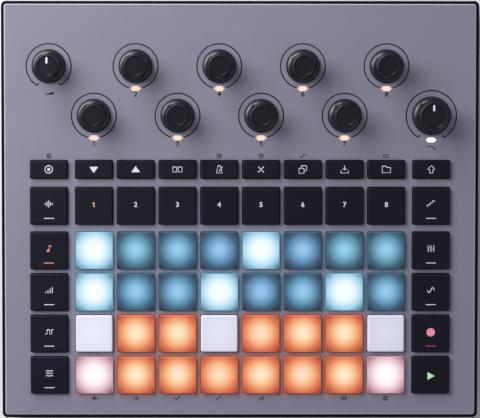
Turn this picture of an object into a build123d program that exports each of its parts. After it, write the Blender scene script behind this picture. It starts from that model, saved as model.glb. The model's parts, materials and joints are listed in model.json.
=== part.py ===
from build123d import *
import os

# An audio sampler: a flat desktop box with a grid of pads, rows of keys and ten dials.
# Millimetres, +X to the right, +Y to the rear, +Z up, standing on its feet at Z = 0.

# Grid of pads and keys
PAD_COLUMNS = 8
PAD_ROWS = 4
PAD_PITCH = 21.0
BAR_WIDTH = 1.7
SIDE_STEP = 22.6
TRACK_STEP = 22.5
FUNCTION_STEP = 18.3
FUNCTION_OPENING_DEPTH = 9.7
FRONT_DIAL_STEP = 27.0
REAR_DIAL_STEP = 24.8
OPENING_CORNER = 1.0

# Pads and keys
PAD_CLEARANCE = 0.4
PAD_RISE = 2.0
PAD_TRAVEL = 0.8
PAD_EDGE = 0.7
PAD_SKIN = 3.0
KEY_CLEARANCE = 0.3
KEY_RISE = 2.0
KEY_TRAVEL = 1.0
KEY_EDGE = 0.6
FLANGE_SPACING = 0.8
FLANGE_THICKNESS = 1.0
FLANGE_CLEARANCE = 0.3
SKIRT_INSET = 2.6
SKIRT_WALL = 1.5
STOP_CLEARANCE = 0.3

# Dials
DIAL_RADIUS = 8.5
FILTER_DIAL_RADIUS = 9.7
DIAL_GAP = 0.6
DIAL_HEIGHT = 15.4
DIAL_FOOT = 0.5
DIAL_EDGE_ROUND = 0.6
DIAL_SKIRT_HEIGHT = 1.8
DIAL_SKIRT_INSET = 2.9
DIAL_SKIRT_CURVE = 3.6
DIAL_TOP_INSET = 3.0
DIAL_TOP_ROUND = 0.5
DISH_DEPTH = 0.4
DISH_RIM = 0.15
HOLLOW_CLEARANCE = 1.1
HOLLOW_HEIGHT = 6.0
SOCKET_HEIGHT = 13.0
POINTER_WIDTH = 1.0
POINTER_LENGTH = 3.2
POINTER_INSET = 0.1
POINTER_DEPTH = 0.3

# Rotary control bodies under the dials
ROTARY_BODY = 12.0
ROTARY_BODY_HEIGHT = 6.5
BUSH_RADIUS = 3.5
BUSH_RISE = 3.0
BUSH_CLEARANCE = 0.25
SHAFT_RADIUS = 3.0
SHAFT_FLAT = 1.5
SHAFT_CLEARANCE = 0.05
SHAFT_END_GAP = 1.5

# Lit windows in front of the dials
WINDOW_LIGHT_WIDTH = 5.4
WINDOW_LIGHT_DEPTH = 2.4
WINDOW_LIGHT_RISE = 0.15
WINDOW_LIGHT_CLEARANCE = 0.1
WINDOW_LIGHT_LAP = 1.0
WINDOW_LIGHT_FLANGE = 1.2
WINDOW_LIGHT_STEP = 11.2
FILTER_LIGHT_STEP = 12.2

# Case, panel and board
WALL = 3.0
FLOOR = 2.2
RIM_WIDTH = 1.3
RIM_DROP = 0.3
RIM_EDGE = 0.5
CASE_CORNER = 2.5
BASE_CHAMFER = 3.0
PANEL_THICKNESS = 2.5
PANEL_GAP = 0.2
PANEL_EDGE = 0.5
BOARD_THICKNESS = 1.6
BOARD_GAP = 0.5
BOARD_EDGE = 0.8
BELOW_BOARD = 12.7
ABOVE_BOARD = 8.0
PAD_LIGHT_WIDTH = 3.2
PAD_LIGHT_HEIGHT = 0.9

# Screws, their bosses, and the feet
BOSS_RADIUS = 3.6
BOSS_GAP = 0.4
SIDE_STRIP = 3.2
FRONT_STRIP = 1.0
SCREW_RADIUS = 1.25
SCREW_CLEARANCE = 0.3
SCREW_FIT = 0.05
SCREW_HEAD_RADIUS = 2.5
SCREW_HEAD_HEIGHT = 1.8
SCREW_HEAD_CLEARANCE = 0.25
SCREW_RECESS = 5.0
SCREW_END_GAP = 1.5
PILOT_CAP = 1.0
SCREW_DRIVE_RADIUS = 1.2
SCREW_DRIVE_DEPTH = 1.0
FOOT_RADIUS = 7.0
FOOT_STAND = 2.0
FOOT_SEAT = 1.0
FOOT_CLEARANCE = 0.15
FOOT_CHAMFER = 0.6
FOOT_INSET = 20.0

# Battery pack and the rib that holds it
BATTERY_WIDTH = 100.0
BATTERY_DEPTH = 50.0
BATTERY_HEIGHT = 8.0
BATTERY_EDGE = 1.5
BATTERY_CLEARANCE = 0.5
BATTERY_RIB = 1.5
BATTERY_RIB_HEIGHT = 4.0

# Rear panel and the window that shows it
REAR_PANEL_THICKNESS = 2.5
REAR_PANEL_LAP = 3.0
REAR_PANEL_TOP_GAP = 0.2
REAR_WINDOW_SIDE = 16.0
REAR_WINDOW_SILL = 0.4
REAR_WINDOW_HEAD = 1.5
SOCKET_SPACE = 7.4
NOSE_CLEARANCE = 0.2

# Quarter-inch audio jacks
AUDIO_WIDTH = 13.0
AUDIO_TOP_GAP = 0.7
AUDIO_DEPTH = 28.0
AUDIO_NOSE_RADIUS = 4.4
AUDIO_NOSE_RISE = 1.2
AUDIO_BORE_RADIUS = 3.25
AUDIO_BORE_DEPTH = 30.0

# Small jacks
MINI_WIDTH = 9.0
MINI_DEPTH = 14.0
MINI_NOSE_RADIUS = 3.0
MINI_NOSE_RISE = 0.8
MINI_BORE_RADIUS = 1.8
MINI_BORE_DEPTH = 15.0

# Five-pin sockets
FIVE_PIN_WIDTH = 18.0
FIVE_PIN_HEIGHT = 20.0
FIVE_PIN_DEPTH = 13.0
FIVE_PIN_NOSE_RADIUS = 8.2
FIVE_PIN_NOSE_RISE = 0.5
FIVE_PIN_GROOVE_RADIUS = 7.2
FIVE_PIN_CORE_RADIUS = 5.8
FIVE_PIN_GROOVE_DEPTH = 8.0
FIVE_PIN_HOLE_RADIUS = 0.8
FIVE_PIN_HOLE_CIRCLE = 3.6
FIVE_PIN_HOLE_COUNT = 5
FIVE_PIN_HOLE_DEPTH = 6.0
FIVE_PIN_KEY_WIDTH = 2.0
FIVE_PIN_KEY_DEPTH = 1.2

# USB socket
USB_WIDTH = 13.0
USB_BODY_DEPTH = 9.0
USB_BODY_LAP = 2.0
USB_SHELL_WIDTH = 9.6
USB_SHELL_HEIGHT = 3.9
USB_SHELL_WALL = 0.35
USB_SHELL_RISE = 0.5
USB_DEPTH = 7.0
USB_TONGUE_WIDTH = 6.7
USB_TONGUE_HEIGHT = 0.7
USB_TONGUE_BACK = 1.0

# Lock slot
LOCK_WIDTH = 7.0
LOCK_HEIGHT = 3.0
LOCK_CORNER = 0.6
LOCK_SPACE = 9.0

# Power button
POWER_RADIUS = 4.0
POWER_CLEARANCE = 0.3
POWER_RISE = 1.8
POWER_TRAVEL = 1.2
POWER_FLANGE_LAP = 1.3
POWER_FLANGE_THICKNESS = 1.2
POWER_FLANGE_CLEARANCE = 0.3
POWER_EDGE = 0.4
POWER_STEM_RADIUS = 2.0
POWER_STEM_LENGTH = 4.0

# Heights of the stack, from the table up
CASE_BOTTOM = FOOT_STAND
FLOOR_TOP = CASE_BOTTOM + FLOOR
BOARD_BOTTOM = FLOOR_TOP + BELOW_BOARD
BOARD_TOP = BOARD_BOTTOM + BOARD_THICKNESS
PANEL_UNDER = BOARD_TOP + ABOVE_BOARD
PANEL_TOP = PANEL_UNDER + PANEL_THICKNESS
RIM_TOP = PANEL_TOP - RIM_DROP
FLANGE_TOP = PANEL_UNDER - FLANGE_CLEARANCE
FLANGE_BOTTOM = FLANGE_TOP - FLANGE_THICKNESS
PAD_TOP = PANEL_TOP + PAD_RISE
PAD_BOTTOM = BOARD_TOP + PAD_TRAVEL + STOP_CLEARANCE
KEY_TOP = PANEL_TOP + KEY_RISE
KEY_BOTTOM = BOARD_TOP + KEY_TRAVEL + STOP_CLEARANCE
DIAL_BOTTOM = PANEL_TOP + DIAL_GAP

# Sizes in the grid
OPENING = PAD_PITCH - BAR_WIDTH
FLANGE = PAD_PITCH - FLANGE_SPACING
FLANGE_LAP = (FLANGE - OPENING) / 2
PAD_SIZE = OPENING - 2 * PAD_CLEARANCE
KEY_SIZE = OPENING - 2 * KEY_CLEARANCE
EDGE_TO_SCREW = WALL + BOSS_GAP + BOSS_RADIUS
SIDE_MARGIN = EDGE_TO_SCREW + BOSS_RADIUS + SIDE_STRIP + FLANGE / 2
FRONT_MARGIN = EDGE_TO_SCREW + BOSS_RADIUS + FRONT_STRIP + FLANGE / 2
SOCKET_BAY = WALL + REAR_PANEL_THICKNESS + FIVE_PIN_DEPTH + SOCKET_SPACE
REAR_MARGIN = SOCKET_BAY + BOARD_EDGE + ROTARY_BODY / 2
CASE_WIDTH = (PAD_COLUMNS - 1) * PAD_PITCH + 2 * SIDE_STEP + 2 * SIDE_MARGIN
PAD_FIELD_DEPTH = (PAD_ROWS - 1) * PAD_PITCH
KEY_FIELD_DEPTH = TRACK_STEP + FUNCTION_STEP
DIAL_FIELD_DEPTH = FRONT_DIAL_STEP + REAR_DIAL_STEP
CASE_DEPTH = FRONT_MARGIN + PAD_FIELD_DEPTH + KEY_FIELD_DEPTH + DIAL_FIELD_DEPTH + REAR_MARGIN

# Places of columns and rows
COLUMNS = [(i - (PAD_COLUMNS - 1) / 2) * PAD_PITCH for i in range(PAD_COLUMNS)]
LEFT_COLUMN = COLUMNS[0] - SIDE_STEP
RIGHT_COLUMN = COLUMNS[-1] + SIDE_STEP
FRONT_ROW = FRONT_MARGIN - CASE_DEPTH / 2
ROWS = [FRONT_ROW + i * PAD_PITCH for i in range(PAD_ROWS)]
TRACK_ROW = ROWS[-1] + TRACK_STEP
FUNCTION_ROW = TRACK_ROW + FUNCTION_STEP
FRONT_DIAL_ROW = FUNCTION_ROW + FRONT_DIAL_STEP
REAR_DIAL_ROW = FRONT_DIAL_ROW + REAR_DIAL_STEP
KEY_COLUMNS = [LEFT_COLUMN, *COLUMNS, RIGHT_COLUMN]
FUNCTION_KEYS = [(x, FUNCTION_ROW) for x in KEY_COLUMNS]
TRACK_KEYS = [(x, TRACK_ROW) for x in KEY_COLUMNS]
LEFT_KEYS = [(LEFT_COLUMN, y) for y in ROWS]
RIGHT_KEYS = [(RIGHT_COLUMN, y) for y in ROWS]
PADS = [(x, y) for y in ROWS for x in COLUMNS]

# Places of the dials: encoders zigzag over the pad columns, the two stopped dials end the rows
VOLUME_DIAL = (LEFT_COLUMN, REAR_DIAL_ROW)
FILTER_DIAL = (RIGHT_COLUMN, FRONT_DIAL_ROW)
ENCODERS = [(x, REAR_DIAL_ROW if i % 2 else FRONT_DIAL_ROW) for i, x in enumerate(COLUMNS)]
DIALS = [VOLUME_DIAL, FILTER_DIAL, *ENCODERS]
LIGHTS = [(x, y - WINDOW_LIGHT_STEP) for x, y in ENCODERS]
LIGHTS.append((FILTER_DIAL[0], FILTER_DIAL[1] - FILTER_LIGHT_STEP))

# Places of the screws and feet
BOARD_REAR = REAR_DIAL_ROW + ROTARY_BODY / 2 + BOARD_EDGE
BOARD_FRONT = WALL + BOARD_GAP - CASE_DEPTH / 2
SCREW_X = CASE_WIDTH / 2 - EDGE_TO_SCREW
SCREW_FRONT = EDGE_TO_SCREW - CASE_DEPTH / 2
SCREW_REAR = BOARD_REAR - BOSS_RADIUS
SCREW_MIDDLE = (SCREW_FRONT + SCREW_REAR) / 2
DIAL_MIDDLE = (FRONT_DIAL_ROW + REAR_DIAL_ROW) / 2
SCREWS = [(side * SCREW_X, y) for side in (-1, 1) for y in (SCREW_FRONT, SCREW_MIDDLE, SCREW_REAR)]
SCREWS += [(0, SCREW_FRONT), (0, DIAL_MIDDLE)]
HEAD_SEAT = CASE_BOTTOM + SCREW_RECESS
PILOT_TOP = PANEL_TOP - PILOT_CAP
FEET_SPAN_X = CASE_WIDTH - 2 * FOOT_INSET
FEET_SPAN_Y = CASE_DEPTH - 2 * FOOT_INSET

# Rear window, rear panel and the row of sockets, placed from left to right as seen from behind
REAR_WINDOW_WIDTH = CASE_WIDTH - 2 * REAR_WINDOW_SIDE
REAR_WINDOW_BOTTOM = CASE_BOTTOM + BASE_CHAMFER + REAR_WINDOW_SILL
REAR_WINDOW_TOP = PANEL_UNDER - REAR_WINDOW_HEAD
REAR_PANEL_OUT = CASE_DEPTH / 2 - WALL
REAR_PANEL_IN = REAR_PANEL_OUT - REAR_PANEL_THICKNESS
AUDIO_HEIGHT = BELOW_BOARD - AUDIO_TOP_GAP
LOW_LINE = FLOOR_TOP + AUDIO_HEIGHT / 2
FIVE_PIN_LINE = (REAR_WINDOW_BOTTOM + REAR_WINDOW_TOP) / 2
FIVE_PIN_FACE = REAR_PANEL_OUT + FIVE_PIN_NOSE_RISE
FIVE_PIN_GROOVE_END = FIVE_PIN_FACE - FIVE_PIN_GROOVE_DEPTH
POWER_WIDTH = 2 * (POWER_RADIUS + POWER_FLANGE_LAP)
REAR_ROW = [
    ("audio", AUDIO_WIDTH),
    ("audio", AUDIO_WIDTH),
    ("mini", MINI_WIDTH),
    ("audio", AUDIO_WIDTH),
    ("audio", AUDIO_WIDTH),
    ("mini", MINI_WIDTH),
    ("five_pin", FIVE_PIN_WIDTH),
    ("five_pin", FIVE_PIN_WIDTH),
    ("five_pin", FIVE_PIN_WIDTH),
    ("usb", USB_WIDTH),
    ("lock", LOCK_SPACE),
    ("power", POWER_WIDTH),
]
REAR_SPACING = (REAR_WINDOW_WIDTH - sum(width for _, width in REAR_ROW)) / (len(REAR_ROW) + 1)
REAR_PLACES = {kind: [] for kind, _ in REAR_ROW}
across = -REAR_WINDOW_WIDTH / 2
for kind, width in REAR_ROW:
    across += REAR_SPACING
    REAR_PLACES[kind].append(across + width / 2)
    across += width
AUDIO = [(u, LOW_LINE) for u in REAR_PLACES["audio"]]
MINI = [(u, LOW_LINE) for u in REAR_PLACES["mini"]]
FIVE_PIN = [(u, FIVE_PIN_LINE) for u in REAR_PLACES["five_pin"]]
USB = (REAR_PLACES["usb"][0], LOW_LINE)
LOCK = (REAR_PLACES["lock"][0], LOW_LINE)
POWER = (REAR_PLACES["power"][0], LOW_LINE)

os.makedirs("parts", exist_ok=True)


def level(z):
    """Horizontal plane at a height."""
    return Plane.XY.offset(z)


def rear_plane(y):
    """Upright plane facing the rear: across runs left to right as seen from behind, then up."""
    return Plane(origin=(0, y, 0), x_dir=(-1, 0, 0), z_dir=(0, 1, 0))


def save(piece, name):
    """Name a finished piece and write its file."""
    piece.part.label = name
    export_step(piece.part, f"parts/{name}.step")


def save_together(name, *pieces):
    """Write pieces that stay separate solids as one node."""
    solids = [solid for piece in pieces for solid in piece.solids()]
    export_step(Compound(label=name, children=solids), f"parts/{name}.step")


def lozenge(width, depth):
    """Long hexagon with pointed ends, for the lit windows."""
    side = (width - depth) / 2
    half = depth / 2
    points = [(-width / 2, 0), (-side, -half), (side, -half), (width / 2, 0), (side, half), (-side, half)]
    return Polygon(*points)


def make_pad(name, x, y):
    """One silicone pad: a hollow block, a flange under the panel and a skirt round its light."""
    skirt = PAD_SIZE - 2 * SKIRT_INSET
    hollow = skirt - 2 * SKIRT_WALL
    with BuildPart() as pad:
        with BuildSketch(Plane((x, y, FLANGE_BOTTOM))):
            RectangleRounded(FLANGE, FLANGE, OPENING_CORNER)
        extrude(amount=FLANGE_THICKNESS)
        with BuildSketch(Plane((x, y, FLANGE_TOP))):
            RectangleRounded(PAD_SIZE, PAD_SIZE, OPENING_CORNER)
        extrude(amount=PAD_TOP - FLANGE_TOP)
        fillet(pad.faces().sort_by(Axis.Z)[-1].edges(), PAD_EDGE)
        with BuildSketch(Plane((x, y, PAD_BOTTOM))):
            RectangleRounded(skirt, skirt, OPENING_CORNER)
        extrude(amount=FLANGE_BOTTOM - PAD_BOTTOM)
        with BuildSketch(Plane((x, y, PAD_BOTTOM))):
            RectangleRounded(hollow, hollow, OPENING_CORNER)
        extrude(amount=PAD_TOP - PAD_SKIN - PAD_BOTTOM, mode=Mode.SUBTRACT)
    save(pad, name)


def make_keys(name, places, opening_depth):
    """A group of equal black keys, each with its flange under the panel and a stem over the board."""
    depth = opening_depth - 2 * KEY_CLEARANCE
    stem_width = KEY_SIZE - 2 * SKIRT_INSET
    stem_depth = depth - 2 * SKIRT_INSET
    with BuildPart() as keys:
        with BuildSketch(level(FLANGE_BOTTOM)):
            with Locations(*places):
                RectangleRounded(FLANGE, opening_depth + 2 * FLANGE_LAP, OPENING_CORNER)
        extrude(amount=FLANGE_THICKNESS)
        with BuildSketch(level(FLANGE_TOP)):
            with Locations(*places):
                RectangleRounded(KEY_SIZE, depth, OPENING_CORNER)
        extrude(amount=KEY_TOP - FLANGE_TOP)
        fillet(keys.faces().group_by(Axis.Z)[-1].edges(), KEY_EDGE)
        with BuildSketch(level(KEY_BOTTOM)):
            with Locations(*places):
                RectangleRounded(stem_width, stem_depth, OPENING_CORNER)
        extrude(amount=FLANGE_BOTTOM - KEY_BOTTOM)
    save(keys, name)


def make_dial(name, place, radius, pointer):
    """One dial: a cap with a flared skirt and a dished top, hollow below, on its flatted shaft."""
    x, y = place
    upright = Plane(origin=(x, y, DIAL_BOTTOM), x_dir=(1, 0, 0), z_dir=(0, -1, 0))
    top_radius = radius - DIAL_TOP_INSET
    shoulder = DIAL_HEIGHT - DIAL_TOP_ROUND
    rim = top_radius - DIAL_TOP_ROUND
    dish = rim - DISH_RIM
    neck = radius - DIAL_SKIRT_INSET
    skirt_edge = radius - DIAL_EDGE_ROUND
    skirt_foot = DIAL_FOOT + DIAL_EDGE_ROUND
    skirt_top = skirt_foot + DIAL_SKIRT_HEIGHT
    with BuildPart() as dial:
        with BuildSketch(upright):
            with BuildLine():
                Polyline((0, 0), (radius, 0), (radius, DIAL_FOOT))
                RadiusArc((radius, DIAL_FOOT), (skirt_edge, skirt_foot), -DIAL_EDGE_ROUND)
                RadiusArc((skirt_edge, skirt_foot), (neck, skirt_top), DIAL_SKIRT_CURVE)
                Line((neck, skirt_top), (top_radius, shoulder))
                RadiusArc((top_radius, shoulder), (rim, DIAL_HEIGHT), -DIAL_TOP_ROUND)
                Polyline(
                    (rim, DIAL_HEIGHT),
                    (dish, DIAL_HEIGHT),
                    (dish - DISH_DEPTH, DIAL_HEIGHT - DISH_DEPTH),
                    (0, DIAL_HEIGHT - DISH_DEPTH),
                    (0, 0),
                )
            make_face()
        revolve(axis=Axis((x, y, DIAL_BOTTOM), (0, 0, 1)))
        with BuildSketch(Plane((x, y, DIAL_BOTTOM))):
            Circle(BUSH_RADIUS + HOLLOW_CLEARANCE)
        extrude(amount=HOLLOW_HEIGHT, mode=Mode.SUBTRACT)
        if pointer:
            reach = dish - DISH_DEPTH - POINTER_INSET - POINTER_LENGTH / 2
            with BuildSketch(Plane((x, y + reach, DIAL_BOTTOM + DIAL_HEIGHT))):
                Rectangle(POINTER_WIDTH, POINTER_LENGTH)
            extrude(amount=-(DISH_DEPTH + POINTER_DEPTH), mode=Mode.SUBTRACT)
        with BuildSketch(Plane((x, y, DIAL_BOTTOM + HOLLOW_HEIGHT))):
            Circle(SHAFT_RADIUS)
            with Locations((0, -SHAFT_RADIUS)):
                Rectangle(2 * SHAFT_RADIUS, 2 * (SHAFT_RADIUS - SHAFT_FLAT), mode=Mode.SUBTRACT)
        extrude(amount=SOCKET_HEIGHT - HOLLOW_HEIGHT, mode=Mode.SUBTRACT)
    with BuildPart() as shaft:
        with BuildSketch(Plane((x, y, BOARD_TOP + SHAFT_END_GAP))):
            Circle(SHAFT_RADIUS)
        extrude(amount=DIAL_BOTTOM + HOLLOW_HEIGHT - BOARD_TOP - SHAFT_END_GAP)
        with BuildSketch(Plane((x, y, DIAL_BOTTOM + HOLLOW_HEIGHT))):
            Circle(SHAFT_RADIUS)
            with Locations((0, -SHAFT_RADIUS)):
                Rectangle(2 * SHAFT_RADIUS, 2 * (SHAFT_RADIUS - SHAFT_FLAT), mode=Mode.SUBTRACT)
        extrude(amount=SOCKET_HEIGHT - HOLLOW_HEIGHT)
    save_together(name, dial, shaft)


# Lower case: a tray with a rim round the panel, a rear window, screw bosses and a battery rib
with BuildPart() as lower_case:
    with BuildSketch(level(CASE_BOTTOM)):
        Rectangle(CASE_WIDTH, CASE_DEPTH)
    extrude(amount=RIM_TOP - CASE_BOTTOM)
    chamfer(lower_case.faces().sort_by(Axis.Z)[0].edges(), BASE_CHAMFER)
    rising_edges = lower_case.edges().filter_by(lambda edge: edge.bounding_box().size.Z > BASE_CHAMFER / 2)
    fillet(rising_edges, CASE_CORNER)
    fillet(lower_case.faces().sort_by(Axis.Z)[-1].edges(), RIM_EDGE)
    with BuildSketch(level(FLOOR_TOP)):
        Rectangle(CASE_WIDTH - 2 * WALL, CASE_DEPTH - 2 * WALL)
    extrude(amount=RIM_TOP - FLOOR_TOP, mode=Mode.SUBTRACT)
    with BuildSketch(level(PANEL_UNDER)):
        RectangleRounded(CASE_WIDTH - 2 * RIM_WIDTH, CASE_DEPTH - 2 * RIM_WIDTH, CASE_CORNER - RIM_WIDTH)
    extrude(amount=RIM_TOP - PANEL_UNDER, mode=Mode.SUBTRACT)
    with BuildSketch(rear_plane(CASE_DEPTH / 2)):
        with Locations((0, (REAR_WINDOW_BOTTOM + REAR_WINDOW_TOP) / 2)):
            Rectangle(REAR_WINDOW_WIDTH, REAR_WINDOW_TOP - REAR_WINDOW_BOTTOM)
    extrude(amount=-WALL, mode=Mode.SUBTRACT)
    with BuildSketch(level(FLOOR_TOP)):
        with Locations(*SCREWS):
            Circle(BOSS_RADIUS)
    extrude(amount=BELOW_BOARD)
    with BuildSketch(level(FLOOR_TOP)):
        with Locations((0, ROWS[1])):
            rib_inside_width = BATTERY_WIDTH + 2 * BATTERY_CLEARANCE
            rib_inside_depth = BATTERY_DEPTH + 2 * BATTERY_CLEARANCE
            Rectangle(rib_inside_width + 2 * BATTERY_RIB, rib_inside_depth + 2 * BATTERY_RIB)
            Rectangle(rib_inside_width, rib_inside_depth, mode=Mode.SUBTRACT)
    extrude(amount=BATTERY_RIB_HEIGHT)
    with BuildSketch(level(CASE_BOTTOM)):
        with Locations(*SCREWS):
            Circle(SCREW_RADIUS + SCREW_CLEARANCE)
    extrude(amount=BOARD_BOTTOM - CASE_BOTTOM, mode=Mode.SUBTRACT)
    with BuildSketch(level(CASE_BOTTOM)):
        with Locations(*SCREWS):
            Circle(SCREW_HEAD_RADIUS + SCREW_HEAD_CLEARANCE)
    extrude(amount=SCREW_RECESS, mode=Mode.SUBTRACT)
    with BuildSketch(level(CASE_BOTTOM)):
        with GridLocations(FEET_SPAN_X, FEET_SPAN_Y, 2, 2):
            Circle(FOOT_RADIUS + FOOT_CLEARANCE)
    extrude(amount=FOOT_SEAT, mode=Mode.SUBTRACT)
save(lower_case, "lower_case")

# Top panel: the face plate with every opening, and standoffs between it and the board
with BuildPart() as face_plate:
    inset = RIM_WIDTH + PANEL_GAP
    with BuildSketch(level(PANEL_UNDER)):
        RectangleRounded(CASE_WIDTH - 2 * inset, CASE_DEPTH - 2 * inset, CASE_CORNER - RIM_WIDTH)
    extrude(amount=PANEL_THICKNESS)
    fillet(face_plate.faces().sort_by(Axis.Z)[-1].edges(), PANEL_EDGE)
    with BuildSketch(level(PANEL_UNDER)):
        with Locations(*PADS, *TRACK_KEYS, *LEFT_KEYS, *RIGHT_KEYS):
            RectangleRounded(OPENING, OPENING, OPENING_CORNER)
        with Locations(*FUNCTION_KEYS):
            RectangleRounded(OPENING, FUNCTION_OPENING_DEPTH, OPENING_CORNER)
        with Locations(*DIALS):
            Circle(BUSH_RADIUS + BUSH_CLEARANCE)
        with Locations(*LIGHTS):
            lozenge(
                WINDOW_LIGHT_WIDTH + 2 * WINDOW_LIGHT_CLEARANCE,
                WINDOW_LIGHT_DEPTH + 2 * WINDOW_LIGHT_CLEARANCE,
            )
    extrude(amount=PANEL_THICKNESS, mode=Mode.SUBTRACT)
    with BuildSketch(level(PANEL_UNDER)):
        with Locations(*SCREWS):
            Circle(SCREW_RADIUS + SCREW_FIT)
    extrude(amount=PILOT_TOP - PANEL_UNDER, mode=Mode.SUBTRACT)
with BuildPart() as standoffs:
    with BuildSketch(level(BOARD_TOP)):
        with Locations(*SCREWS):
            Circle(BOSS_RADIUS)
            Circle(SCREW_RADIUS + SCREW_FIT, mode=Mode.SUBTRACT)
    extrude(amount=ABOVE_BOARD)
save_together("top_panel", face_plate, standoffs)

# Main board, clamped between the bosses of panel and case, with a light under each pad
with BuildPart() as main_board:
    with BuildSketch(level(BOARD_BOTTOM)):
        with Locations((0, (BOARD_FRONT + BOARD_REAR) / 2)):
            Rectangle(CASE_WIDTH - 2 * (WALL + BOARD_GAP), BOARD_REAR - BOARD_FRONT)
        with Locations(*SCREWS):
            Circle(SCREW_RADIUS + SCREW_CLEARANCE, mode=Mode.SUBTRACT)
    extrude(amount=BOARD_THICKNESS)
    with BuildSketch(level(BOARD_TOP)):
        with Locations(*PADS):
            Rectangle(PAD_LIGHT_WIDTH, PAD_LIGHT_WIDTH)
    extrude(amount=PAD_LIGHT_HEIGHT)
save(main_board, "main_board")

# Rotary control bodies: a square body on the board and a bush that guides the dial's shaft
with BuildPart() as rotary_bodies:
    with BuildSketch(level(BOARD_TOP)):
        with Locations(*DIALS):
            Rectangle(ROTARY_BODY, ROTARY_BODY)
    extrude(amount=ROTARY_BODY_HEIGHT)
    with BuildSketch(level(BOARD_TOP + ROTARY_BODY_HEIGHT)):
        with Locations(*DIALS):
            Circle(BUSH_RADIUS)
    extrude(amount=PANEL_TOP + BUSH_RISE - BOARD_TOP - ROTARY_BODY_HEIGHT)
    with BuildSketch(level(PANEL_TOP + BUSH_RISE)):
        with Locations(*DIALS):
            Circle(SHAFT_RADIUS + SHAFT_CLEARANCE)
    extrude(amount=BOARD_TOP + SHAFT_END_GAP / 2 - PANEL_TOP - BUSH_RISE, mode=Mode.SUBTRACT)
save(rotary_bodies, "rotary_bodies")

# Lit windows: clear plugs in the panel, each with a flange against its underside
with BuildPart() as light_windows:
    with BuildSketch(level(PANEL_UNDER - WINDOW_LIGHT_FLANGE)):
        with Locations(*LIGHTS):
            lozenge(WINDOW_LIGHT_WIDTH + 2 * WINDOW_LIGHT_LAP, WINDOW_LIGHT_DEPTH + 2 * WINDOW_LIGHT_LAP)
    extrude(amount=WINDOW_LIGHT_FLANGE)
    with BuildSketch(level(PANEL_UNDER)):
        with Locations(*LIGHTS):
            lozenge(WINDOW_LIGHT_WIDTH, WINDOW_LIGHT_DEPTH)
    extrude(amount=PANEL_THICKNESS + WINDOW_LIGHT_RISE)
save(light_windows, "light_windows")

# Rear panel: an upright plate behind the case's rear window, with a hole for each socket
with BuildPart() as rear_panel:
    plate_height = PANEL_UNDER - REAR_PANEL_TOP_GAP - FLOOR_TOP
    with BuildSketch(rear_plane(REAR_PANEL_IN)):
        with Locations((0, FLOOR_TOP + plate_height / 2)):
            Rectangle(REAR_WINDOW_WIDTH + 2 * REAR_PANEL_LAP, plate_height)
        with Locations(*AUDIO):
            Circle(AUDIO_NOSE_RADIUS + NOSE_CLEARANCE, mode=Mode.SUBTRACT)
        with Locations(*MINI):
            Circle(MINI_NOSE_RADIUS + NOSE_CLEARANCE, mode=Mode.SUBTRACT)
        with Locations(*FIVE_PIN):
            Circle(FIVE_PIN_NOSE_RADIUS + NOSE_CLEARANCE, mode=Mode.SUBTRACT)
        with Locations(USB):
            slot_height = USB_SHELL_HEIGHT + 2 * NOSE_CLEARANCE
            SlotOverall(USB_SHELL_WIDTH + 2 * NOSE_CLEARANCE, slot_height, mode=Mode.SUBTRACT)
        with Locations(LOCK):
            RectangleRounded(LOCK_WIDTH, LOCK_HEIGHT, LOCK_CORNER, mode=Mode.SUBTRACT)
        with Locations(POWER):
            Circle(POWER_RADIUS + POWER_CLEARANCE, mode=Mode.SUBTRACT)
    extrude(amount=REAR_PANEL_THICKNESS)
save(rear_panel, "rear_panel")

# Quarter-inch audio jacks: a long body on the floor, with a nose through the rear panel
with BuildPart() as audio_jacks:
    with BuildSketch(rear_plane(REAR_PANEL_IN)):
        with Locations(*AUDIO):
            Rectangle(AUDIO_WIDTH, AUDIO_HEIGHT)
    extrude(amount=-AUDIO_DEPTH)
    with BuildSketch(rear_plane(REAR_PANEL_IN)):
        with Locations(*AUDIO):
            Circle(AUDIO_NOSE_RADIUS)
    extrude(amount=REAR_PANEL_THICKNESS + AUDIO_NOSE_RISE)
    with BuildSketch(rear_plane(REAR_PANEL_OUT + AUDIO_NOSE_RISE)):
        with Locations(*AUDIO):
            Circle(AUDIO_BORE_RADIUS)
    extrude(amount=-AUDIO_BORE_DEPTH, mode=Mode.SUBTRACT)
save(audio_jacks, "audio_jacks")

# Small jacks, for headphones and sync
with BuildPart() as mini_jacks:
    with BuildSketch(rear_plane(REAR_PANEL_IN)):
        with Locations(*MINI):
            Rectangle(MINI_WIDTH, AUDIO_HEIGHT)
    extrude(amount=-MINI_DEPTH)
    with BuildSketch(rear_plane(REAR_PANEL_IN)):
        with Locations(*MINI):
            Circle(MINI_NOSE_RADIUS)
    extrude(amount=REAR_PANEL_THICKNESS + MINI_NOSE_RISE)
    with BuildSketch(rear_plane(REAR_PANEL_OUT + MINI_NOSE_RISE)):
        with Locations(*MINI):
            Circle(MINI_BORE_RADIUS)
    extrude(amount=-MINI_BORE_DEPTH, mode=Mode.SUBTRACT)
save(mini_jacks, "mini_jacks")

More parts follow.
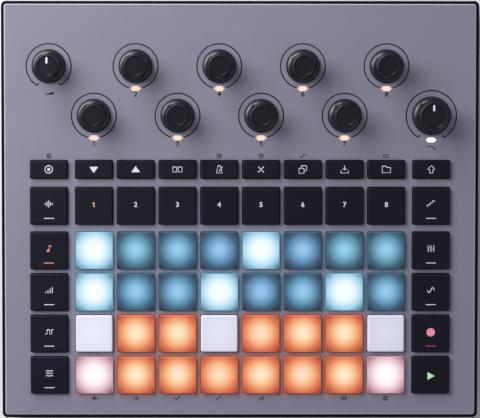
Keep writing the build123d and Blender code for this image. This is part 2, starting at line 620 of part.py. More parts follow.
# Five-pin sockets: a block on the floor, a round shell through the rear panel, and a core with five holes
with BuildPart() as five_pin_blocks:
    with BuildSketch(rear_plane(FIVE_PIN_GROOVE_END)):
        with Locations(*[(u, FLOOR_TOP + FIVE_PIN_HEIGHT / 2) for u, _ in FIVE_PIN]):
            Rectangle(FIVE_PIN_WIDTH, FIVE_PIN_HEIGHT)
    extrude(amount=REAR_PANEL_IN - FIVE_PIN_DEPTH - FIVE_PIN_GROOVE_END)
with BuildPart() as five_pin_shells:
    with BuildSketch(rear_plane(FIVE_PIN_GROOVE_END)):
        with Locations(*FIVE_PIN):
            Circle(FIVE_PIN_NOSE_RADIUS)
            Circle(FIVE_PIN_GROOVE_RADIUS, mode=Mode.SUBTRACT)
    extrude(amount=FIVE_PIN_GROOVE_DEPTH)
with BuildPart() as five_pin_cores:
    with BuildSketch(rear_plane(FIVE_PIN_GROOVE_END)):
        with Locations(*FIVE_PIN):
            Circle(FIVE_PIN_CORE_RADIUS)
        with Locations(*[(u, z + FIVE_PIN_CORE_RADIUS) for u, z in FIVE_PIN]):
            Rectangle(FIVE_PIN_KEY_WIDTH, 2 * FIVE_PIN_KEY_DEPTH, mode=Mode.SUBTRACT)
    extrude(amount=FIVE_PIN_GROOVE_DEPTH)
    with BuildSketch(rear_plane(FIVE_PIN_FACE)):
        for u, z in FIVE_PIN:
            with Locations((u, z)):
                with PolarLocations(FIVE_PIN_HOLE_CIRCLE, FIVE_PIN_HOLE_COUNT, 180, 180, endpoint=True):
                    Circle(FIVE_PIN_HOLE_RADIUS)
    extrude(amount=-FIVE_PIN_HOLE_DEPTH, mode=Mode.SUBTRACT)
save_together("five_pin_sockets", five_pin_blocks, five_pin_shells, five_pin_cores)

# USB socket: a block on the floor, an oval shell through the rear panel, and a tongue inside
with BuildPart() as usb_socket:
    body_height = LOW_LINE + USB_SHELL_HEIGHT / 2 + USB_BODY_LAP - FLOOR_TOP
    shell_face = REAR_PANEL_OUT + USB_SHELL_RISE
    with BuildSketch(rear_plane(REAR_PANEL_IN)):
        with Locations((USB[0], FLOOR_TOP + body_height / 2)):
            Rectangle(USB_WIDTH, body_height)
    extrude(amount=-USB_BODY_DEPTH)
    with BuildSketch(rear_plane(REAR_PANEL_IN)):
        with Locations(USB):
            SlotOverall(USB_SHELL_WIDTH, USB_SHELL_HEIGHT)
    extrude(amount=shell_face - REAR_PANEL_IN)
    with BuildSketch(rear_plane(shell_face)):
        with Locations(USB):
            SlotOverall(USB_SHELL_WIDTH - 2 * USB_SHELL_WALL, USB_SHELL_HEIGHT - 2 * USB_SHELL_WALL)
    extrude(amount=-USB_DEPTH, mode=Mode.SUBTRACT)
    with BuildSketch(rear_plane(shell_face - USB_DEPTH)):
        with Locations(USB):
            Rectangle(USB_TONGUE_WIDTH, USB_TONGUE_HEIGHT)
    extrude(amount=USB_DEPTH - USB_TONGUE_BACK)
save(usb_socket, "usb_socket")

# Power button: a round cap in the rear panel, with a flange behind the plate and a short stem
with BuildPart() as power_button:
    flange_face = REAR_PANEL_IN - POWER_FLANGE_CLEARANCE
    with BuildSketch(rear_plane(flange_face)):
        with Locations(POWER):
            Circle(POWER_RADIUS)
    extrude(amount=REAR_PANEL_OUT + POWER_RISE - flange_face)
    fillet(power_button.faces().sort_by(Axis.Y)[-1].edges(), POWER_EDGE)
    with BuildSketch(rear_plane(flange_face)):
        with Locations(POWER):
            Circle(POWER_RADIUS + POWER_FLANGE_LAP)
    extrude(amount=-POWER_FLANGE_THICKNESS)
    with BuildSketch(rear_plane(flange_face - POWER_FLANGE_THICKNESS)):
        with Locations(POWER):
            Circle(POWER_STEM_RADIUS)
    extrude(amount=-POWER_STEM_LENGTH)
save(power_button, "power_button")

# Battery pack on the floor, inside its rib
with BuildPart() as battery_pack:
    with BuildSketch(level(FLOOR_TOP)):
        with Locations((0, ROWS[1])):
            Rectangle(BATTERY_WIDTH, BATTERY_DEPTH)
    extrude(amount=BATTERY_HEIGHT)
    fillet(battery_pack.edges().filter_by(Axis.Z), BATTERY_EDGE)
save(battery_pack, "battery_pack")

# Case screws, from below through case and board into the panel's bosses
with BuildPart() as case_screws:
    with BuildSketch(level(HEAD_SEAT - SCREW_HEAD_HEIGHT)):
        with Locations(*SCREWS):
            Circle(SCREW_HEAD_RADIUS)
    extrude(amount=SCREW_HEAD_HEIGHT)
    with BuildSketch(level(HEAD_SEAT)):
        with Locations(*SCREWS):
            Circle(SCREW_RADIUS)
    extrude(amount=PILOT_TOP - SCREW_END_GAP - HEAD_SEAT)
    with BuildSketch(level(HEAD_SEAT - SCREW_HEAD_HEIGHT)):
        with Locations(*SCREWS):
            RegularPolygon(SCREW_DRIVE_RADIUS, 6)
    extrude(amount=SCREW_DRIVE_DEPTH, mode=Mode.SUBTRACT)
save(case_screws, "case_screws")

# Rubber feet, let into the underside of the case
with BuildPart() as rubber_feet:
    with BuildSketch(level(0)):
        with GridLocations(FEET_SPAN_X, FEET_SPAN_Y, 2, 2):
            Circle(FOOT_RADIUS)
    extrude(amount=FOOT_STAND + FOOT_SEAT)
    chamfer(rubber_feet.faces().group_by(Axis.Z)[0].edges(), FOOT_CHAMFER)
save(rubber_feet, "rubber_feet")

# Keys, in four groups
make_keys("function_row_keys", FUNCTION_KEYS, FUNCTION_OPENING_DEPTH)
make_keys("track_row_keys", TRACK_KEYS, OPENING)
make_keys("left_keys", LEFT_KEYS, OPENING)
make_keys("right_keys", RIGHT_KEYS, OPENING)

# Pads, numbered from the front row's left end
for index, (pad_x, pad_y) in enumerate(PADS):
    make_pad(f"pad_{index + 1:02d}", pad_x, pad_y)

# Dials
make_dial("volume_dial", VOLUME_DIAL, DIAL_RADIUS, True)
make_dial("filter_dial", FILTER_DIAL, FILTER_DIAL_RADIUS, True)
for index, place in enumerate(ENCODERS):
    make_dial(f"encoder_dial_{index + 1}", place, DIAL_RADIUS, False)

print(f"case {CASE_WIDTH:.1f} x {CASE_DEPTH:.1f}, panel top {PANEL_TOP:.1f}, dial top {DIAL_BOTTOM + DIAL_HEIGHT:.1f}")
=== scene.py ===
# %% [markdown]
# Audio sampler, dressed for its picture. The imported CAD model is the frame: every solid already
# sits in its place, in metres, and the script adds finishes, print, light and a camera.

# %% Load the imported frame
import json
import math

import bmesh
import bpy
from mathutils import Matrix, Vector


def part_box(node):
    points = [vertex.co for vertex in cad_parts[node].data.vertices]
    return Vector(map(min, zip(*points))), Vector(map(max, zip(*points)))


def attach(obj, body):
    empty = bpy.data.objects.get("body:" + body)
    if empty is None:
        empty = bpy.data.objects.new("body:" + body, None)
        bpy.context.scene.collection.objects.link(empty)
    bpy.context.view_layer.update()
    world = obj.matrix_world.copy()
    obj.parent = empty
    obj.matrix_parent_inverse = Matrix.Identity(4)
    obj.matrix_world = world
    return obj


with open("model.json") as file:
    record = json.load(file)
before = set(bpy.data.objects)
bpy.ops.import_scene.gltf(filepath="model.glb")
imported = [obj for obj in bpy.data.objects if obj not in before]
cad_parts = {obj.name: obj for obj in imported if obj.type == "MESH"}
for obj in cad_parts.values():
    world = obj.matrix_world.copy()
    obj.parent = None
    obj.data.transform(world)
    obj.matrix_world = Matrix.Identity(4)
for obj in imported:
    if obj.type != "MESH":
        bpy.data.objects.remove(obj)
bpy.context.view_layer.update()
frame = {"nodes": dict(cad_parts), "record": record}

MM = 0.001
scene = bpy.context.scene
solids = frame["nodes"]

# %% [markdown]
# A node tree can be wired by hand, one link at a time, but long sums are then hard to read.
# The class Value wraps a socket and turns + - * / into Math nodes, so a sum is written as a sum.
# The class Graph adds every other node through one method, in shader trees and Geometry Nodes alike.


# %% Sockets that take part in sums
class Value:
    """An output socket that adds Math nodes when it meets an operator."""

    def __init__(self, graph, socket):
        self.graph = graph
        self.socket = socket

    def math(self, operation, *others):
        return self.graph.math(operation, self, *others)

    def __add__(self, other):
        return self.math("ADD", other)

    def __sub__(self, other):
        return self.math("SUBTRACT", other)

    def __rsub__(self, other):
        return self.graph.math("SUBTRACT", other, self)

    def __mul__(self, other):
        return self.math("MULTIPLY", other)

    def __truediv__(self, other):
        return self.math("DIVIDE", other)

    __radd__ = __add__


class Graph:
    """A node tree that gives Values back."""

    def __init__(self, tree):
        self.tree = tree

    def put(self, socket, value):
        if isinstance(value, Value):
            self.tree.links.new(value.socket, socket)
        else:
            socket.default_value = value

    def node(self, kind, settings, inputs, output=0):
        made = self.tree.nodes.new(kind)
        for name, value in settings.items():
            if name == "stops":
                ramp = made.color_ramp.elements
                for where, _ in value[1:-1]:
                    ramp.new(where)
                for stop, (where, colour) in zip(ramp, value):
                    stop.position = where
                    stop.color = colour
            else:
                setattr(made, name, value)
        for name, value in inputs.items():
            self.put(made.inputs[name], value)
        return Value(self, made.outputs[output])

    def math(self, operation, *values):
        return self.node("ShaderNodeMath", {"operation": operation}, dict(enumerate(values)))


print("sum helper ready")

# %% [markdown]
# Finishes are the shader side of the same idea. Each one reads Object coordinates, which are metres
# on the real sampler, so a grain of 0.3 mm is asked for as 0.3 mm and never stretches.


# %% A finish and its usual ingredients
def srgb(red, green, blue):
    """The linear colour of an 8-bit screen colour."""
    def linear(level):
        level /= 255
        return level / 12.92 if level <= 0.04045 else ((level + 0.055) / 1.055) ** 2.4
    return (linear(red), linear(green), linear(blue), 1.0)


class Finish(Graph):
    """A material whose surface is one Principled BSDF."""

    def __init__(self, name):
        self.material = bpy.data.materials.new(name)
        self.material.use_nodes = True
        super().__init__(self.material.node_tree)
        self.surface = self.tree.nodes["Principled BSDF"]
        self.place = self.node("ShaderNodeTexCoord", {}, {}, "Object")

    def set(self, **values):
        for name, value in values.items():
            self.put(self.surface.inputs[name.replace("_", " ")], value)

    def now(self, name):
        """What feeds this input at present."""
        return Value(self, self.surface.inputs[name].links[0].from_socket)

    def axes(self):
        split = self.node("ShaderNodeSeparateXYZ", {}, {"Vector": self.place}).socket.node
        return [Value(self, socket) for socket in split.outputs]

    def noise(self, size_mm, detail=2.0):
        inputs = {"Vector": self.place, "Scale": 1 / (size_mm * MM), "Detail": detail}
        return self.node("ShaderNodeTexNoise", {}, inputs)

    def mix(self, factor, first, second):
        return self.node("ShaderNodeMix", {"data_type": "RGBA"}, {0: factor, 6: first, 7: second}, 2)

    def ease(self, value, low, high):
        """Climbs smoothly from 0 at low to 1 at high."""
        return self.node("ShaderNodeMapRange", {"interpolation_type": "SMOOTHSTEP"},
                         {"Value": value, "From Min": low, "From Max": high})

    def climb(self, height, top, depths_mm):
        """Climbs from 0 to 1 between two depths under a top, in millimetres."""
        low, high = depths_mm
        return self.ease(height, top - low * MM, top - high * MM)

    def bump(self, height, depth_mm):
        return self.node("ShaderNodeBump", {}, {"Strength": 1.0, "Distance": depth_mm * MM, "Height": height})


NOISE_MEAN = 0.5


def grained(name, dark, light, roughness, grain_mm, depth_mm):
    """Moulded or painted skin: a fine even grain, with slow drifts of colour and gloss."""
    drift_mm, drift_detail, drift_share = 24.0, 3.0, 0.7
    drift_gloss, grain_gloss = 0.08, 0.06
    skin = Finish(name)
    grain = skin.noise(grain_mm)
    drift = skin.noise(drift_mm, drift_detail)
    skin.set(
        Base_Color=skin.mix(drift * drift_share + grain * (1 - drift_share), srgb(*dark), srgb(*light)),
        Roughness=roughness + (drift - NOISE_MEAN) * drift_gloss + (grain - NOISE_MEAN) * grain_gloss,
        Normal=skin.bump(grain, depth_mm),
    )
    return skin


print("finish helper ready")

# %% [markdown]
# The top panel is satin lavender-grey paint over a moulded plate. The tray and the rear plate under it
# are black plastic with a coarser spark-etched grain, and the keys and dials are smoother black.

# %% Paint and plastics
panel_paint = grained("panel_paint", (123, 122, 139), (133, 132, 149),
                      roughness=0.46, grain_mm=0.28, depth_mm=0.006)
tray_plastic = grained("tray_plastic", (10, 10, 15), (17, 17, 23), roughness=0.5, grain_mm=0.5, depth_mm=0.02)
key_plastic = grained("key_plastic", (9, 9, 24), (14, 14, 30), roughness=0.44, grain_mm=0.25, depth_mm=0.004)
key_plastic.set(Specular_IOR_Level=0.25)
foot_rubber = grained("foot_rubber", (30, 30, 31), (41, 41, 42), roughness=0.75, grain_mm=0.6, depth_mm=0.03)
socket_plastic = grained("socket_plastic", (20, 20, 21), (30, 30, 31),
                         roughness=0.36, grain_mm=0.4, depth_mm=0.006)
battery_wrap = grained("battery_wrap", (48, 62, 86), (58, 74, 100),
                       roughness=0.4, grain_mm=0.8, depth_mm=0.01)
board_mask = grained("board_mask", (24, 66, 42), (33, 84, 54), roughness=0.35, grain_mm=0.4, depth_mm=0.01)


def metal(name, dark, light, roughness):
    """Plated metal: fine scratches along X over a slightly uneven plating."""
    scratches_per_metre, scratch_detail = (120.0, 4200.0, 4200.0), 3.0
    scratch_gloss, scratch_depth_mm = 0.14, 0.004
    plate = Finish(name)
    stretched = plate.node("ShaderNodeVectorMath", {"operation": "MULTIPLY"},
                           {0: plate.place, 1: scratches_per_metre})
    scratch = plate.node("ShaderNodeTexNoise", {},
                         {"Vector": stretched, "Scale": 1.0, "Detail": scratch_detail})
    plate.set(
        Base_Color=plate.mix(scratch, srgb(*dark), srgb(*light)),
        Roughness=roughness + (scratch - NOISE_MEAN) * scratch_gloss,
        Metallic=1.0,
        Normal=plate.bump(scratch, scratch_depth_mm),
    )
    return plate


steel = metal("plated_steel", (150, 150, 152), (198, 198, 200), roughness=0.3)
black_steel = metal("black_steel", (46, 46, 48), (70, 70, 73), roughness=0.42)
print("plain finishes:", len(bpy.data.materials))

# %% [markdown]
# Two black finishes change with height. The flank of a dial is polished by fingers and has a thin clear
# coat, which its dish and its foot lack. The top of the tray's rim carries painted shade and is the darkest
# line of all: its finish is mixed with near-black metal, which hardly mirrors. Depths are in millimetres
# under the top of the dial or the tray.

# %% Dials and rim
DIAL_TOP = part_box("volume_dial")[1].z
DIAL_GRAIN = 0.3
SKIRT_EDGE, CROWN = (14.4, 14.15), (1.4, 0.7)
FOOT_ROUGHNESS, FLANK_ROUGHNESS, DIAL_GLOSS, DIAL_COAT = 0.95, 0.32, 0.06, 0.4
dial_rubber = grained("dial_rubber", (9, 9, 22), (14, 14, 28), FLANK_ROUGHNESS, DIAL_GRAIN, depth_mm=0.002)
_, _, z = dial_rubber.axes()
over_foot = dial_rubber.climb(z, DIAL_TOP, SKIRT_EDGE)
flank = over_foot - dial_rubber.climb(z, DIAL_TOP, CROWN)
dial_rubber.set(
    Coat_Weight=flank * DIAL_COAT,
    Coat_Roughness=0.32,
    Specular_IOR_Level=0.42,
    Roughness=FOOT_ROUGHNESS - over_foot * (FOOT_ROUGHNESS - FLANK_ROUGHNESS)
    + (dial_rubber.noise(DIAL_GRAIN) - NOISE_MEAN) * DIAL_GLOSS,
)

RIM_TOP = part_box("lower_case")[1].z
RIM_EDGE, RIM_PAINTED_SHADE = (0.8, 0.3), 0.75
_, _, z = tray_plastic.axes()
# Painted shade on the rim's top: a near-black metal mix, which hardly mirrors, darkens a band of the black
# plastic.
tray_plastic.set(Specular_IOR_Level=0.3, Metallic=tray_plastic.climb(z, RIM_TOP, RIM_EDGE) * RIM_PAINTED_SHADE)
print("dial top mm", round(DIAL_TOP / MM, 2), "rim top mm", round(RIM_TOP / MM, 2))

# %% [markdown]
# The pads are milky silicone with a lamp under each one. The glow is strongest over the lamp and
# fades to a deeper colour at the corners. The pads stand on one even grid, so the remainder of X and Y
# over the grid's pitch gives every pad its own centre, and one finish per lamp colour serves all pads
# of that colour. A colour ramp over the distance from the lamp holds the glow. The rounded edge glows
# pale: partly the lamp through the thin silicone, partly a painted highlight. The side walls below it
# keep an even glow, and the flange under the panel is nearly dark.
# Distances from the lamp are in halves of a pad's width.

# %% Lit silicone
pad_low, pad_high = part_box("pad_01")
next_low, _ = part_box("pad_02")
PAD_PITCH = next_low.x - pad_low.x
PAD_HALF = (pad_high.x - pad_low.x) / 2
PAD_CENTRE = (pad_low + pad_high) / 2
LAMP_REAR = 0.4 * MM
GLOW_DISTANCES, RAMP_END = (0.0, 0.25, 0.5, 0.85, 1.25), 1.3
PAD_EDGE, PAD_WALL, PAD_FLANGE, FLANGE_GLOW = (0.6, 0.15), (1.2, 0.7), (2.6, 1.8), 0.2
CLOUD_SIZE, CLOUD_SHIFT = 4.0, 0.05
PAD_GRAIN, PAD_GRAIN_DEPTH, PAD_ROUGHNESS, PAD_GLOSS = 0.3, 0.006, 0.5, 0.1


def off_lamp(value, centre):
    """How far a place lies from the nearest lamp along one axis, in pitches."""
    return ((value - centre) / PAD_PITCH + 0.5).math("FRACT") - 0.5


def lit_pad(name, glows, sides, skin):
    """Silicone with one glow for each of the distances from the lamp, one for the edge with its painted
    highlight, and one for the walls.
    """
    pad = Finish(name)
    x, y, z = pad.axes()
    # The first side colour is the edge's glow with its painted highlight; the second is the walls' glow.
    edge, wall = (srgb(*side) for side in sides)
    flange = tuple(FLANGE_GLOW * level for level in wall[:3]) + (1.0,)
    across, along = off_lamp(x, PAD_CENTRE.x), off_lamp(y, PAD_CENTRE.y) - LAMP_REAR / PAD_PITCH
    far = (across * across + along * along).math("SQRT") * (PAD_PITCH / PAD_HALF)
    cloudy = (far + (pad.noise(CLOUD_SIZE) - NOISE_MEAN) * CLOUD_SHIFT) / RAMP_END
    stops = [(where / RAMP_END, srgb(*glow)) for where, glow in zip(GLOW_DISTANCES, glows)]
    glow = pad.node("ShaderNodeValToRGB", {"stops": stops}, {"Fac": cloudy})
    for depths, colour in ((PAD_EDGE, edge), (PAD_WALL, wall), (PAD_FLANGE, flange)):
        glow = pad.mix(pad.climb(z, pad_high.z, depths), colour, glow)
    grain = pad.noise(PAD_GRAIN)
    pad.set(
        Base_Color=srgb(*skin),
        Roughness=PAD_ROUGHNESS + (grain - NOISE_MEAN) * PAD_GLOSS,
        Normal=pad.bump(grain, PAD_GRAIN_DEPTH),
        Emission_Color=glow,
        Emission_Strength=1.0,
        Specular_IOR_Level=0.3,
    )
    return pad


def leaning(glows, green, blue):
    """The same glow with its green and blue turned up or down a little."""
    return [(r, min(255, g * green), min(255, b * blue)) for r, g, b in glows]


print("pad pitch mm", round(PAD_PITCH / MM, 3))

# %% [markdown]
# The colours of the lamps, from the middle of a pad outwards, each with the pale edge, partly a painted
# highlight, and the wall that go with it. A few lamps lean towards teal, violet or red, and their pads get a
# finish of their own.

# %% Lamp colours
LIT_SKIN, UNLIT_SKIN = (26, 28, 30), (223, 225, 239)
BRIGHT = [(247, 253, 254), (245, 252, 254), (230, 246, 254), (167, 215, 239), (28, 104, 136)]
BLUE = [(152, 203, 236), (137, 192, 228), (105, 162, 197), (57, 98, 125), (10, 16, 22)]
ORANGE = [(254, 232, 205), (253, 222, 188), (249, 193, 142), (227, 124, 76), (158, 38, 28)]
PINK = [(254, 252, 254), (253, 250, 253), (251, 239, 246), (225, 185, 194), (138, 62, 76)]
UNLIT = [(80, 80, 84), (76, 76, 80), (66, 66, 70), (44, 44, 48), (18, 18, 22)]
# Each pair: the edge's glow with its painted highlight, then the walls' glow.
BRIGHT_SIDES = (176, 228, 244), (112, 196, 230)
BLUE_SIDES = (92, 132, 156), (62, 128, 166)
ORANGE_SIDES = (240, 152, 118), (250, 104, 54)
PINK_SIDES = (236, 196, 206), (222, 150, 166)
UNLIT_SIDES = (70, 70, 74), (18, 18, 22)
pad_finish = {
    "pad_bright": lit_pad("lit_pad_bright", BRIGHT, BRIGHT_SIDES, LIT_SKIN),
    "pad_blue": lit_pad("lit_pad_blue", BLUE, BLUE_SIDES, LIT_SKIN),
    "pad_teal": lit_pad("lit_pad_teal", leaning(BLUE, 1.015, 0.975), BLUE_SIDES, LIT_SKIN),
    "pad_violet": lit_pad("lit_pad_violet", leaning(BLUE, 0.965, 1.0), BLUE_SIDES, LIT_SKIN),
    "pad_orange": lit_pad("lit_pad_orange", ORANGE, ORANGE_SIDES, LIT_SKIN),
    "pad_ember": lit_pad("lit_pad_ember", leaning(ORANGE, 0.965, 0.97), ORANGE_SIDES, LIT_SKIN),
    "pad_pink": lit_pad("lit_pad_pink", PINK, PINK_SIDES, LIT_SKIN),
    "pad_white": lit_pad("unlit_pad", UNLIT, UNLIT_SIDES, UNLIT_SKIN),
}
PAD_LEANING = {"pad_teal": (26, 31, 32), "pad_violet": (21, 28, 30), "pad_ember": (4, 6, 13)}
print("pad finishes", len(pad_finish))

# %% [markdown]
# The light that the lamps spill onto the bars of the panel between the pads is painted into the paint's
# colour, orange between the front rows and blue between the rear rows. A mask with soft borders keeps the
# painted light inside the six middle columns.

# %% Lamp light painted on the bars
BORDER_OUT, BORDER_IN, MIDDLE_FADE = 1.5 * MM, 0.5 * MM, 2 * MM
PAINTED_SPILL = 0.25
field_low, field_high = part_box("pad_02")[0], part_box("pad_31")[1]
panel_x, panel_y, _ = panel_paint.axes()


def between(value, low, high):
    """One inside a range and zero outside it, with soft borders."""
    entered = panel_paint.ease(value, low - BORDER_OUT, low + BORDER_IN)
    left = panel_paint.ease(value, high - BORDER_IN, high + BORDER_OUT)
    return entered - left


field = between(panel_x, field_low.x, field_high.x) * between(panel_y, field_low.y, field_high.y)
field_middle = (field_low.y + field_high.y) / 2
rear_half = panel_paint.ease(panel_y, field_middle - MIDDLE_FADE, field_middle + MIDDLE_FADE)
# Colours of the painted lamp light on the bars: orange at the front, blue-grey at the rear.
tint = panel_paint.mix(rear_half, srgb(180, 121, 63), srgb(139, 144, 152))
panel_paint.set(Base_Color=panel_paint.mix(field * PAINTED_SPILL, panel_paint.now("Base Color"), tint))
print("tinted field mm", [round(side / MM, 1) for side in (field_high - field_low).xy])

# %% [markdown]
# The rounded outer edge of the panel catches the light; that highlight is painted into the paint's colour
# as a pale line. The distance to the outline, with its rounded corners, says where that edge is.

# %% Painted highlight on the panel's edge
PANEL_CORNER = 1.2 * MM
PALE_FROM, PALE_TO = 0.33 * MM, 0.55 * MM
panel_low, panel_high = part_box("top_panel")


def past_straight(value, low, high):
    """How far a place lies beyond the straight part of a side, on the way to a rounded corner."""
    straight_half = (high - low) / 2 - PANEL_CORNER
    return ((value - (low + high) / 2).math("ABSOLUTE") - straight_half).math("MAXIMUM", 0.0)


past_x = past_straight(panel_x, panel_low.x, panel_high.x)
past_y = past_straight(panel_y, panel_low.y, panel_high.y)
to_outline = PANEL_CORNER - (past_x * past_x + past_y * past_y).math("SQRT")
inner = panel_paint.ease(to_outline, PALE_FROM, PALE_TO)
# The painted highlight: a pale band just inside the outline.
panel_paint.set(Base_Color=panel_paint.mix(inner, srgb(190, 190, 204), panel_paint.now("Base Color")))
print("pale edge mm", round(PALE_TO / MM, 2))

# %% [markdown]
# The small windows before the dials are light pipes. Eight glow peach and the one of the large
# filter dial glows white, so the colour changes once along X, between the last two windows.

# %% Lit windows
PEACH_CORE, PEACH_EDGE = 0.02, 0.14
WINDOW_CLOUD, WINDOW_GRAIN = 1.5, 0.6
WINDOW_ROUGHNESS, WINDOW_GLOSS = 0.25, 0.1
WHITE_FADE = 2 * MM
window_light = Finish("window_light")
x, _, _ = window_light.axes()
filter_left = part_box("filter_dial")[0].x
outward = window_light.ease(off_lamp(x, PAD_CENTRE.x).math("ABSOLUTE"), PEACH_CORE, PEACH_EDGE)
peach = window_light.mix(outward, srgb(247, 222, 205), srgb(246, 192, 156))
cool = window_light.mix(window_light.noise(WINDOW_CLOUD), srgb(236, 234, 240), srgb(250, 250, 252))
at_filter = window_light.ease(x, filter_left - WHITE_FADE, filter_left)
window_light.set(
    Base_Color=srgb(48, 44, 42),
    Roughness=WINDOW_ROUGHNESS + window_light.noise(WINDOW_GRAIN) * WINDOW_GLOSS,
    Emission_Color=window_light.mix(at_filter, peach, cool),
    Emission_Strength=1.0,
)
print("window light turns white at mm", round(filter_left / MM, 1))

# %% [markdown]
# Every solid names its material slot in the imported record, so the finishes are handed out by slot.
# The pads whose lamps lean take their own finish instead.

# %% Dress the solids
slot_finish = {
    "case_black": tray_plastic, "panel_grey": panel_paint, "key_black": key_plastic,
    "dial_black": dial_rubber, "window_lit": window_light, "board_green": board_mask,
    "rotary_metal": steel, "socket_black": socket_plastic, "socket_steel": steel,
    "battery_wrap": battery_wrap, "screw_steel": black_steel, "foot_rubber": foot_rubber,
    **pad_finish,
}
subparts = frame["record"]["subparts"]
for subpart in subparts:
    mesh = solids[subpart["node"]].data
    mesh.materials.clear()
    mesh.materials.append(slot_finish[subpart["material_slot"]].material)
for slot, pads in PAD_LEANING.items():
    for pad in pads:
        solids[f"pad_{pad:02d}"].data.materials[0] = pad_finish[slot].material
print("dressed", len(subparts), "of", len(solids))

# %% [markdown]
# The rings and lines of the print are made by Geometry Nodes. A tree has a few named sizes and a finish
# as its inputs. It runs on loose points or lines, and its result is kept as a plain mesh.


# %% Trees that print
def placed(name, data):
    """A new object in the scene that holds this mesh, type, lamp or camera."""
    made = bpy.data.objects.new(name, data)
    scene.collection.objects.link(made)
    return made


def plain_mesh(holder):
    """The finished shape of an object as a mesh of its own. The object is removed."""
    mesh = bpy.data.meshes.new_from_object(holder.evaluated_get(bpy.context.evaluated_depsgraph_get()))
    bpy.data.objects.remove(holder)
    return mesh


def new_tree(name, *sizes):
    """A Geometry Nodes tree that takes a geometry, named sizes and a finish. Gives its graph and inputs."""
    tree = bpy.data.node_groups.new(name, "GeometryNodeTree")
    tree.interface.new_socket("Geometry", in_out="OUTPUT", socket_type="NodeSocketGeometry")
    tree.interface.new_socket("Geometry", in_out="INPUT", socket_type="NodeSocketGeometry")
    for size in sizes:
        tree.interface.new_socket(size, in_out="INPUT", socket_type="NodeSocketFloat")
    tree.interface.new_socket("Finish", in_out="INPUT", socket_type="NodeSocketMaterial")
    graph = Graph(tree)
    entry = tree.nodes.new("NodeGroupInput")
    return graph, {socket.name: Value(graph, socket) for socket in entry.outputs if socket.name}


def strip(graph, given, curve):
    """Sweeps a flat strip of ink along a curve."""
    profile = graph.node("GeometryNodeCurvePrimitiveQuadrilateral", {"mode": "RECTANGLE"},
                         {"Width": given["Line"], "Height": given["Ink"]})
    return graph.node("GeometryNodeCurveToMesh", {},
                      {"Curve": curve, "Profile Curve": profile, "Fill Caps": True})


def close_tree(graph, geometry, material):
    whole = graph.node("GeometryNodeRealizeInstances", {}, {"Geometry": geometry})
    inked = graph.node("GeometryNodeSetMaterial", {}, {"Geometry": whole, "Material": material})
    end = graph.tree.nodes.new("NodeGroupOutput")
    graph.put(end.inputs["Geometry"], inked)


def grow(name, graph, sizes, points, edges=()):
    """Runs a Geometry Nodes tree on points and edges and gives the result as a plain mesh."""
    start = bpy.data.meshes.new(name + "_start")
    start.from_pydata(points, edges, [])
    holder = placed(name + "_start", start)
    modifier = holder.modifiers.new("grow", "NODES")
    modifier.node_group = graph.tree
    for item in graph.tree.interface.items_tree:
        if item.name in sizes:
            modifier[item.identifier] = sizes[item.name]
    return plain_mesh(holder)


print("print trees can be made")

# %% [markdown]
# Thin dark rings are printed round the dials. One small tree draws an arc, sweeps a flat strip of ink
# along it and sets a copy at each point that it is given. A dial with a lit window needs a gap at the
# front, and a dial with end stops keeps its ring open between the stops.

# %% Printed rings
INK = 0.06 * MM
PANEL_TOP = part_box("top_panel")[1].z
RING_LINE, RING_RADIUS, LARGE_RING_RADIUS = 0.6, 11.25, 12.65
RING_STEPS, WINDOW_GAP, STOPPED_GAP = 120, 34, 62
rings, given = new_tree("printed_ring", "Radius", "Line", "Ink", "Gap")
arc = rings.node("GeometryNodeCurveArc", {"mode": "RADIUS"}, {
    "Resolution": RING_STEPS, "Radius": given["Radius"],
    "Start Angle": given["Gap"] / 2 - math.pi / 2, "Sweep Angle": 2 * math.pi - given["Gap"]})
copies = rings.node("GeometryNodeInstanceOnPoints", {},
                    {"Points": given["Geometry"], "Instance": strip(rings, given, arc)})
close_tree(rings, copies, given["Finish"])


def printed(name, colour, sheen=0.4):
    """Screen-printed ink: an even film with slightly mottled colour and gloss."""
    film_mm, mottle, film_gloss = 0.5, 0.1, 0.1

    def shade(share):
        return [level * share for level in srgb(*colour)[:3]] + [1.0]

    ink = Finish(name)
    film = ink.noise(film_mm)
    ink.set(
        Base_Color=ink.mix(film, shade(1 - mottle), shade(1 + mottle)),
        Roughness=sheen + (film - NOISE_MEAN) * film_gloss,
    )
    return ink


dark_ink = printed("dark_ink", (10, 10, 20))
dark_ink.set(Specular_IOR_Level=0.25)


def middle(node):
    low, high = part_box(node)
    return (low + high) / 2


def ring(name, centres, radius_mm, gap_degrees):
    spots = [(spot.x, spot.y, PANEL_TOP) for spot in centres]
    sizes = {"Radius": radius_mm * MM, "Line": RING_LINE * MM, "Ink": INK, "Gap": math.radians(gap_degrees),
             "Finish": dark_ink.material}
    piece = placed(name, grow(name, rings, sizes, spots))
    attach(piece, "case")
    print(name, "faces", len(piece.data.polygons))


encoders = [middle(f"encoder_dial_{n}") for n in range(1, 9)]
volume, large = middle("volume_dial"), middle("filter_dial")
ring("encoder_rings", encoders, RING_RADIUS, WINDOW_GAP)
ring("volume_ring", [volume], RING_RADIUS, STOPPED_GAP)
ring("filter_ring", [large], LARGE_RING_RADIUS, STOPPED_GAP)

# %% [markdown]
# Legends are printed on the keys and the panel, a plain sign or a number in each place. A sign is drawn
# as a few lines of points, in half millimetres round its own middle. Some signs also have round dots or
# are solid shapes.


# %% The signs
def circle(radius, x=0.0, y=0.0, steps=20):
    turns = [2 * math.pi * step / steps for step in range(steps)]
    return [(x + radius * math.cos(turn), y + radius * math.sin(turn)) for turn in turns]


def closed(*points):
    return list(points) + [points[0]]


def box(left, low, right, high):
    return closed((left, low), (right, low), (right, high), (left, high))


